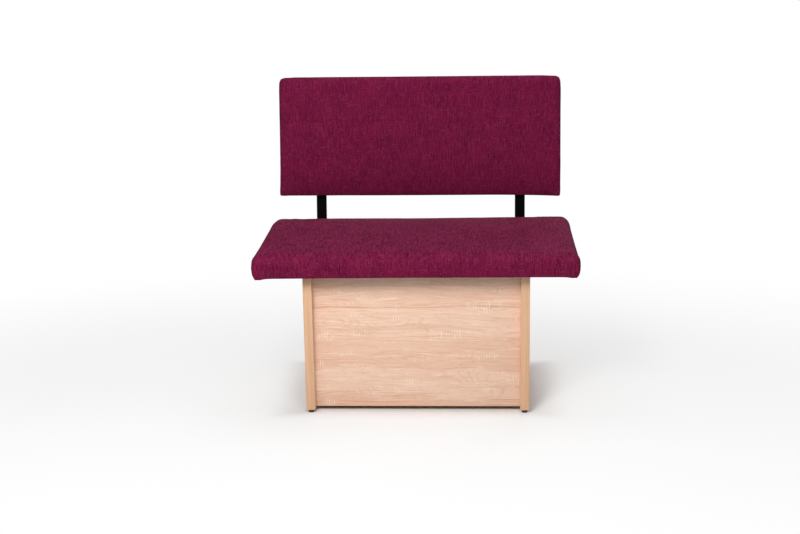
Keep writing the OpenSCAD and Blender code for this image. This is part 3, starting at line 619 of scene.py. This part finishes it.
# %% Move the points of a cushion
SIDE_REACH = 50 * MM  # a side is pulled in up to this far inside it
SOFT_REACH = 65 * MM  # length of outline beside a corner that is softened
ROLL_REACH = 110 * MM  # length over which the near end rolls down
EAR_REACH = 32 * MM  # way from a corner over which an ear ends
EAR_HEIGHT = 24 * MM  # ears and lips move only what lies lower than this
LIP_REACH = 16 * MM  # width of the roll along the board's edge
CLEAR_REACH = 20 * MM  # way out of a carrier over which ears and lips grow to full size


def smooth_step(value):
    """0 up to 0, 1 from 1 on, and a smooth rise between."""
    value = max(0.0, min(1.0, value))
    return value * value * (3 - 2 * value)


def free_share(carriers, x, y):
    """0 where a carrier's box lies under the point, rising to 1 a little way outside it."""
    outside = min(max(low.x - x, x - high.x, low.y - y, y - high.y) for low, high in carriers)
    return smooth_step(outside / CLEAR_REACH)


def shape_sides(piece, size, form):
    """Draws the sides in and shapes the top."""
    half = Vector((size.x / 2, size.y / 2))
    for vertex in piece.data.vertices:
        place = vertex.co.copy()
        above = max(0.0, (place.z - form["full"]) / (size.z - form["full"]))
        below = max(0.0, 1 - place.z / form["full"])
        far_soften = form["soften_far_left"] if place.x < 0 else form["soften_far_right"]
        soften = far_soften if place.y > 0 else form["soften_near"]
        for k in (0, 1):
            inside, along = half[k] - abs(place[k]), half[1 - k] - abs(place[1 - k])
            corner_near = max(0.0, 1 - along / SOFT_REACH) ** 2
            pull = (form["draw"] - form["flare"] * corner_near) * below ** 2
            pull += form["waist"] * max(0.0, 1 - (place[1 - k] / half[1 - k]) ** 2)
            pull += soften * corner_near
            vertex.co[k] -= math.copysign(pull * smooth_step(1 - inside / SIDE_REACH), place[k])
        share_x, share_y = place.x / half.x, place.y / half.y
        vertex.co.z += above * form["crown"] * max(0.0, 1 - share_x ** 2) * max(0.0, 1 - share_y ** 2)
        vertex.co.z -= above * form["drop"] * (share_x * share_y) ** 4
        vertex.co.z += above * form["rise"] * max(0.0, share_x) * max(0.0, share_y)
        vertex.co.z -= above * form["roll"] * max(0.0, 1 - (half.y + place.y) / ROLL_REACH) ** 2


def square_corners(piece, size, form):
    """Pushes the round corners out towards a square."""
    half_x, half_y, corner = size.x / 2, size.y / 2, form["corner"]
    for vertex in piece.data.vertices:
        x, y, z = vertex.co
        below = max(0.0, 1 - z / form["full"])
        out_x, out_y = abs(x) - half_x + corner, abs(y) - half_y + corner
        if out_x > 0 and out_y > 0:
            # a circle has power 2, and a higher power gives a squarer corner
            if y > 0:
                power = 2 + form["square_far"] * below
            else:
                power = 2 + form["square_near"] * max(below, form["square_least"])
            radius = math.hypot(out_x, out_y)
            rounder = ((out_x / radius) ** power + (out_y / radius) ** power) ** (1 / power)
            grow = (1 / rounder - 1) * min(1.0, radius / corner)
            vertex.co.x += math.copysign(out_x * grow, x)
            vertex.co.y += math.copysign(out_y * grow, y)


def lower_hem(piece, size, form, carriers):
    """Adds the ears, the lip and the slack of the near corners."""
    half_x, half_y = size.x / 2, size.y / 2
    for vertex in piece.data.vertices:
        x, y, z = vertex.co
        free = free_share(carriers, x, y)
        inside_x, inside_y = half_x - form["draw"] - abs(x), half_y - form["draw"] - abs(y)
        corner_near = smooth_step(1 - math.hypot(max(0.0, inside_x), max(0.0, inside_y)) / EAR_REACH)
        edge_near = smooth_step(1 - min(inside_x, inside_y) / LIP_REACH)
        rightward = 0.5 + x / (2 * half_x)
        ear = form["ear_left"] + rightward * (form["ear_right"] - form["ear_left"])
        lip = form["lip_left"] + rightward * (form["lip_right"] - form["lip_left"])
        low_share = max(0.0, 1 - z / EAR_HEIGHT)
        vertex.co.z -= free * low_share * (ear * corner_near + lip * edge_near * low_share)
        near_share = (x * min(0.0, y) / (half_x * half_y)) ** 4
        if x < 0:
            vertex.co.x -= form["near_left"] * near_share
        else:
            vertex.co.y -= form["near_right"] * near_share


print("shaping rules are ready")

# %% [markdown]
# The cloth solver holds the points of the underside, where the cover is stapled to the board. A slightly
# negative shrink factor gives the cloth some spare length, so that the pressure rounds it without
# pulling its sides in. Afterwards the skin is scaled to the size wanted: by about a percent in plan, and
# back down in height to its crown.

# %% Settle and fit
HELD_HEIGHT = 3 * MM  # points lower than this belong to the underside
SPARE_CLOTH = -0.006  # the solver's shrink factor
LAST_STEP = 20


def settle(piece, form, carriers, half_x, half_y):
    """Runs the cloth solver on the skin with its underside held, and caps how far a point may move."""
    before = [v.co.copy() for v in piece.data.vertices]
    held = piece.vertex_groups.new(name="stapled")
    for vertex in piece.data.vertices:
        x, y, z = vertex.co
        in_hem = min(half_x - form["draw"] - abs(x), half_y - form["draw"] - abs(y)) < form["hem"]
        if z < HELD_HEIGHT and not (in_hem and free_share(carriers, x, y) > 0.99):
            held.add([vertex.index], 1.0, "REPLACE")
    cloth = piece.modifiers.new("tight cover", "CLOTH")
    cloth.settings.quality = 6
    cloth.settings.mass = 0.3
    cloth.settings.tension_stiffness = 18
    cloth.settings.compression_stiffness = 18
    cloth.settings.bending_stiffness = 0.6
    cloth.settings.shrink_min = SPARE_CLOTH
    cloth.settings.use_pressure = True
    cloth.settings.uniform_pressure_force = form["pressure"]
    cloth.settings.vertex_group_mass = "stapled"
    cloth.settings.effector_weights.gravity = 0
    cloth.point_cache.frame_start = 1
    cloth.point_cache.frame_end = LAST_STEP
    for step in range(1, LAST_STEP + 1):
        bpy.context.scene.frame_set(step)
    apply_modifiers(piece)
    largest = 0.0
    for vertex, old in zip(piece.data.vertices, before):
        move = vertex.co - old
        largest = max(largest, move.length)
        if move.length > form["cap"]:
            vertex.co = old + move * (form["cap"] / move.length)
    bpy.context.scene.frame_set(1)
    print(f"{piece.name}: {len(before)} points, the solver moved one by up to {largest / MM:.1f} mm")


def fit_size(piece, size):
    """Scales the skin so that its widest and highest points give the size wanted."""
    vertices = piece.data.vertices
    low, high = extent([v.co for v in vertices])
    print(f"{piece.name}: {[round(v / MM, 1) for v in high - low]} mm before it is fitted")
    for vertex in vertices:
        for k in (0, 1):
            vertex.co[k] = (vertex.co[k] - (low[k] + high[k]) / 2) * size[k] / (high[k] - low[k])
        if vertex.co.z > 0:
            vertex.co.z *= size.z / high.z


print("the solver takes", LAST_STEP, "steps")

# %% [markdown]
# The weave needs a flat measure of the cloth. Each point's distance over the top, round the rounded edge
# and down the side is unrolled, separately for x and for y. A face that looks to the side is unrolled in
# x and one that looks to the front in y, so the threads run over the front edge without a break, as they
# do on the real cushion. The `looks_up` attribute of the finished piece is stored beside that measure.

# %% Unroll the cloth
def unrolled(place, height, half, radius, top):
    """Distance along the cloth from the middle, over a rounded edge and down the side."""
    flat = half - radius
    if abs(place) <= flat:
        return place
    angle = math.atan2(abs(place) - flat, max(height - (top - radius), 1e-6))
    down = max(0.0, top - radius - height)
    return math.copysign(flat + radius * angle + down, place)


def unroll_cloth(piece, size, form):
    """Gives each corner of a face its place on the flat cloth, in metres."""
    mesh = piece.data
    layer = mesh.uv_layers.new(name="cloth")
    for polygon in mesh.polygons:
        to_side = abs(polygon.normal.x) > abs(polygon.normal.y)
        underneath = polygon.normal.z < -0.7
        for corner in polygon.loop_indices:
            x, y, z = mesh.vertices[mesh.loops[corner].vertex_index].co
            if to_side and not underneath:
                x = unrolled(x, z, size.x / 2, form["edge"], size.z)
            elif not underneath:
                y = unrolled(y, z, size.y / 2, form["edge"], size.z)
            layer.data[corner].uv = (x, y)


def mark_top(piece):
    """Stores how far each point looks up."""
    looks_up = piece.data.attributes.new("looks_up", "FLOAT", "POINT")
    for vertex, share in zip(piece.data.vertices, looks_up.data):
        share.value = vertex.normal.z


print("cloth helpers are ready")

# %% [markdown]
# All steps together make a cushion. One subdivision after the solver makes the skin fine enough for
# close views, and the size of the squares keeps it under 200,000 triangles.

# %% Make a cushion
def make_cushion(name, node, cloth, size, place, form, replaced, carriers):
    """A finished cushion in its place: block, skin, rules, cloth solver, fit, hem, unrolled cloth."""
    start = Vector((size.x, size.y, size.z - form["crown"]))
    piece = even_skin(name, cushion_block(start, form["corner"], form["edge"], form["under"]), form["voxel"])
    shape_sides(piece, start, form)
    square_corners(piece, start, form)
    settle(piece, form, carriers, size.x / 2, size.y / 2)
    fit_size(piece, size)
    lower_hem(piece, size, form, carriers)
    finer = piece.modifiers.new("finer", "SUBSURF")
    finer.levels = finer.render_levels = 1
    apply_modifiers(piece)
    unroll_cloth(piece, size, form)
    piece.data.transform(place)
    mark_top(piece)
    piece.data.shade_smooth()
    piece.data.materials.clear()
    piece.data.materials.append(cloth)
    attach(piece, body_of[node])
    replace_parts(piece, *replaced)
    triangles = sum(len(polygon.vertices) - 2 for polygon in piece.data.polygons)
    print(f"{name}: {triangles} triangles")


def in_mm(**lengths):
    """A dictionary of lengths, given in millimetres and kept in metres."""
    return {name: length * MM for name, length in lengths.items()}


print("for example:", in_mm(edge=28))

# %% [markdown]
# ## Seat cushion
#
# The seat is 64 mm thick at its edge: board, foam and cloth. Its top edge is rounded by about 28 mm, its
# corners by 24 mm, and near the board the cover draws in by 7.5 mm. The cloth stands a little proud of the
# solid: `proud` says by how much the whole width, depth and height grow. The lip is a thicker roll on the
# left than on the right.

# %% Make the seat cushion
seat_form = in_mm(corner=24, edge=28, under=3, full=36, draw=7.5, flare=5, waist=1.5,
                  soften_near=0, soften_far_left=13, soften_far_right=8.5,
                  crown=5, drop=2, rise=4, roll=0, ear_left=6, ear_right=4, lip_left=11, lip_right=6,
                  near_left=0, near_right=0, hem=14, cap=3, voxel=6.6)
seat_form.update(pressure=4.0, square_far=3, square_near=6, square_least=0)
proud = Vector((5.5, 2, 0)) * MM
base_parts = [node_extent(node, seat_frame) for node in ("left_side_panel", "right_side_panel")]
base_box = (base_parts[0][0], base_parts[1][1])
make_cushion("seat_cushion", "seat_cover", seat_cloth, seat_size + proud, seat_frame, seat_form,
             ["seat_cover", "seat_foam"], [base_box])

# %% [markdown]
# ## Back pad
#
# The back pad is thinner, with tighter edges. It is modelled flat and then leaned back with the bars.
# Its upper corners are softer than its lower ones, because the cover is pulled tightest over them, and
# its lower end rolls back towards the board.

# %% Make the back pad
pad_form = in_mm(corner=14, edge=16, under=3, full=26, draw=3, flare=1, waist=0,
                 soften_near=-1, soften_far_left=3.5, soften_far_right=3.5,
                 crown=4, drop=3, rise=0, roll=12, ear_left=1.5, ear_right=1.5, lip_left=1, lip_right=1,
                 near_left=4, near_right=5, hem=10, cap=3, voxel=6)
pad_form.update(pressure=4.0, square_far=1, square_near=6, square_least=0.7)
proud = Vector((1, 4, 0)) * MM
back_bars = [node_extent(node, pad_frame) for node in BARS]
make_cushion("back_pad", "back_cover", back_cloth, pad_size + proud, pad_frame, pad_form,
             ["back_cover", "back_foam"], back_bars)

# %% [markdown]
# ## Dust cloth and rear lining
#
# Both are thin sheets, stapled over the board and the cover's hem. They are stretched, but never
# perfectly flat: between two staples the edge stands off by a fraction of a millimetre. A grid of squares
# is cut to size, puckered along its edges, and given its thickness. Where the base or a bar presses
# on it, it stays flat.

# %% Make a stapled sheet
PUCKER_REACH = 22 * MM  # way in from the edge over which a pucker ends
SHEET_SQUARE = 5 * MM  # side of one square of a sheet


def stapled_sheet(name, node, place, thickness, pitch, pucker, carriers):
    """A sheet of the node's size under the cushion of frame `place`, puckered once per `pitch`."""
    low, high = node_extent(node, place)
    width, length = high.x - low.x, high.y - low.y
    middle = (low + high) / 2
    bm = bmesh.new()
    bmesh.ops.create_grid(bm, x_segments=round(width / SHEET_SQUARE), size=0.5,
                          y_segments=round(length / SHEET_SQUARE))
    bmesh.ops.scale(bm, vec=(width, length, 1), verts=bm.verts)
    for vertex in bm.verts:
        x, y, _ = vertex.co
        from_side, from_end = width / 2 - abs(x), length / 2 - abs(y)
        along, inside = (y, from_side) if from_side < from_end else (x, from_end)
        wave = math.sin(math.pi * along / pitch) ** 2 * smooth_step(1 - inside / PUCKER_REACH)
        stand_off = pucker * wave * free_share(carriers, x + middle.x, y + middle.y)
        vertex.co = (x + middle.x, y + middle.y, high.z - thickness / 2 - stand_off)
    bmesh.ops.recalc_face_normals(bm, faces=bm.faces)
    bmesh.ops.solidify(bm, geom=list(bm.faces), thickness=thickness)
    uv = bm.loops.layers.uv.new("cloth")
    for face in bm.faces:
        for loop in face.loops:
            loop[uv].uv = loop.vert.co.xy
    bmesh.ops.transform(bm, matrix=place, verts=bm.verts)
    bmesh.ops.recalc_face_normals(bm, faces=bm.faces)
    piece = link_piece(name, bm, finish[slot_of[node]], body_of[node])
    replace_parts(piece, node)
    print(f"{name}: {width:.3f} x {length:.3f} m, {len(piece.data.polygons)} faces")
    return piece, (width, length)


SEAT_PITCH, PAD_PITCH = 55 * MM, 48 * MM  # between two staples
dust_cloth, dust_flat = stapled_sheet("seat_dust_cloth_sheet", "seat_dust_cloth", seat_frame, 0.6 * MM,
                                      SEAT_PITCH, 1.2 * MM, [base_box])
lining, lining_flat = stapled_sheet("back_lining_sheet", "back_lining", pad_frame, 1.0 * MM,
                                    PAD_PITCH, 0.8 * MM, back_bars)

# %% [markdown]
# ## Staples
#
# A pneumatic stapler leaves a row of wire crowns along the edge of the dust cloth, never quite in line. One
# crown is a short bar of flattened wire with eased edges. It is copied along the four edges, turned by
# a few degrees from a seeded random number, and left out where the base would cover it. The pad's lining
# has its hem folded over its staples, so none of them shows.

# %% Make the row of staples
CROWN = Vector((11, 1.2, 0.7)) * MM  # length, width and thickness of a staple's crown
STAPLE_INSET = 7 * MM  # from the sheet's edge to the row


def staple_row(name, node, place, pitch, carriers):
    """Staples round a sheet, as one mesh."""
    draw = random.Random(name)
    low, high = node_extent(node, place)
    bm = bmesh.new()
    count = 0
    for k in (0, 1):
        half = (high[k] - low[k]) / 2
        steps = math.floor((half - STAPLE_INSET) / pitch)
        for side in (low[1 - k] + STAPLE_INSET, high[1 - k] - STAPLE_INSET):
            for step in range(-steps, steps + 1):
                spot = [0.0, 0.0]
                spot[k], spot[1 - k] = (low[k] + high[k]) / 2 + step * pitch, side
                if free_share(carriers, *spot) < 1:
                    continue
                turn = Matrix.Rotation(k * math.pi / 2 + math.radians(draw.uniform(-7, 7)), 4, "Z")
                spot_matrix = Matrix.Translation((*spot, low.z - CROWN.z / 4)) @ turn
                bmesh.ops.create_cube(bm, size=1.0, matrix=place @ spot_matrix @ Matrix.Diagonal((*CROWN, 1)))
                count += 1
    bmesh.ops.bevel(bm, geom=list(bm.edges), offset=0.25 * MM, segments=2, profile=0.5, affect="EDGES",
                    material=-1)
    piece = link_piece(name, bm, finish["zinc_steel"], body_of[node])
    print(f"{name}: {count} staples, {len(piece.data.polygons)} faces")


staple_row("seat_staples", "seat_dust_cloth", seat_frame, SEAT_PITCH, [base_box])

# %% [markdown]
# ## Floor and background
#
# The photograph is a studio picture on pure white. The floor is a pale sheet that keeps the bench's soft
# shadow. For the camera and for reflections it also glows: not at all under the base, by about a half
# beside it, and fully far from the bench, which hides where the sheet ends. The world is white for the
# camera and for reflections, but much dimmer as a light.

# %% Floor and world
UNDER = (0.19, 0.27)  # metres from the middle over which the base's shade ends
FAR = 1.50  # metres from the middle where the glow is full
SOME_GLOW = 0.55  # share of the glow beside the base
WIDTH_COUNTS = 0.6  # the bench is wider than deep, so its width counts for less
AMBIENT = 0.08  # strength of the world as a light
FLOOR_REACH = 20  # metres from the middle of the floor to its edge

floor_sheet, tree, place = new_material("pale_studio_floor")
parts = add(tree, "SeparateXYZ", {0: place}).outputs
narrowed = add(tree, "Math", {0: parts[0], 1: WIDTH_COUNTS}, operation="MULTIPLY")
plan = add(tree, "CombineXYZ", {0: narrowed, 1: parts[1]})
distance = add(tree, "VectorMath", {0: plan}, operation="LENGTH").outputs["Value"]
away = add(tree, "MapRange", {"Value": distance, "From Min": UNDER[0], "From Max": FAR,
                              "To Max": 1 - SOME_GLOW}, interpolation_type="SMOOTHSTEP")
# the larger of both distances gives a rectangle, as the base's plan is
sides = [add(tree, "Math", {0: value}, operation="ABSOLUTE") for value in (narrowed, parts[1])]
box = add(tree, "Math", {0: sides[0], 1: sides[1]}, operation="MAXIMUM")
outside = add(tree, "MapRange", {"Value": box, "From Min": UNDER[0], "From Max": UNDER[1],
                                 "To Max": SOME_GLOW}, interpolation_type="SMOOTHSTEP")
path = add(tree, "LightPath").outputs
seen = add(tree, "Math", {0: path["Is Camera Ray"], 1: path["Is Glossy Ray"]}, operation="MAXIMUM")
share = add(tree, "Math", {0: away, 1: outside}, operation="ADD")
glow = add(tree, "Math", {0: share, 1: seen}, operation="MULTIPLY")
sheet = add(tree, "BsdfDiffuse", {"Color": linear("#F6F6F6")})
white = add(tree, "Emission", {"Color": linear("#FFFFFF"), "Strength": 1.0})
add(tree, "OutputMaterial", {"Surface": add(tree, "MixShader", {0: glow, 1: sheet, 2: white})})

floor_bm = bmesh.new()
bmesh.ops.create_grid(floor_bm, x_segments=1, y_segments=1, size=FLOOR_REACH)
floor_mesh = bpy.data.meshes.new("floor")
floor_bm.to_mesh(floor_mesh)
floor_bm.free()
floor_mesh.materials.append(floor_sheet)
link("floor", floor_mesh)

world = bpy.data.worlds.new("white_studio")
world.use_nodes = True
tree = world.node_tree
tree.nodes.clear()
path = add(tree, "LightPath").outputs
seen = add(tree, "Math", {0: path["Is Glossy Ray"], 1: path["Is Transmission Ray"]}, operation="MAXIMUM")
seen = add(tree, "Math", {0: seen, 1: path["Is Camera Ray"]}, operation="MAXIMUM")
strength = add(tree, "MapRange", {"Value": seen, "To Min": AMBIENT, "To Max": 1.0})
background = add(tree, "Background", {"Color": linear("#FFFFFF"), "Strength": strength})
add(tree, "OutputWorld", {"Surface": background})
bpy.context.scene.world = world
print("floor and world are ready")

# %% [markdown]
# ## Lamps
#
# The shadow of the seat on the front panel tells where the key light was: a softbox to the left of the
# camera and rather low. Two weaker ones stand beside it, a large one overhead lights the seat's top, and
# two more light the right side and the back. Together they give a plain level, at which a colour renders
# about as it is written.

# %% Lamps
def softbox(name, place, target, size, power):
    """A rectangular area lamp at a place, turned towards a target. Size in metres, power in watts."""
    data = bpy.data.lights.new(name + "_softbox", "AREA")
    data.shape = "RECTANGLE"
    data.size, data.size_y = size
    data.energy = power
    lamp = link(data.name, data)
    lamp.location = place
    lamp.rotation_mode = "QUATERNION"
    lamp.rotation_quaternion = (Vector(target) - Vector(place)).to_track_quat("-Z", "Y")
    return lamp


SEAT_FRONT = (0, -0.15, 0.45)  # what the three lamps in front are turned towards
SMALL = (0.8, 0.8)
lamps = [
    softbox("key", (-0.61, -2.16, 1.98), SEAT_FRONT, SMALL, 44),
    softbox("left", (-1.59, -1.74, 1.75), SEAT_FRONT, SMALL, 7),
    softbox("right", (0.60, -2.39, 1.63), SEAT_FRONT, SMALL, 11),
    softbox("side", (2.40, -0.30, 1.70), (0.2, 0, 0.4), (1.2, 1.2), 7),
    softbox("rear", (0.60, 2.60, 1.70), (0, 0.1, 0.5), (1.6, 1.2), 26),
    softbox("overhead", (0, 0.1, 2.8), (0, 0, 0.5), (2.4, 1.6), 22),
]
bpy.context.scene.view_settings.view_transform = "Standard"
print("lamps:", [f"{lamp.name} {lamp.data.energy:.0f} W" for lamp in lamps])
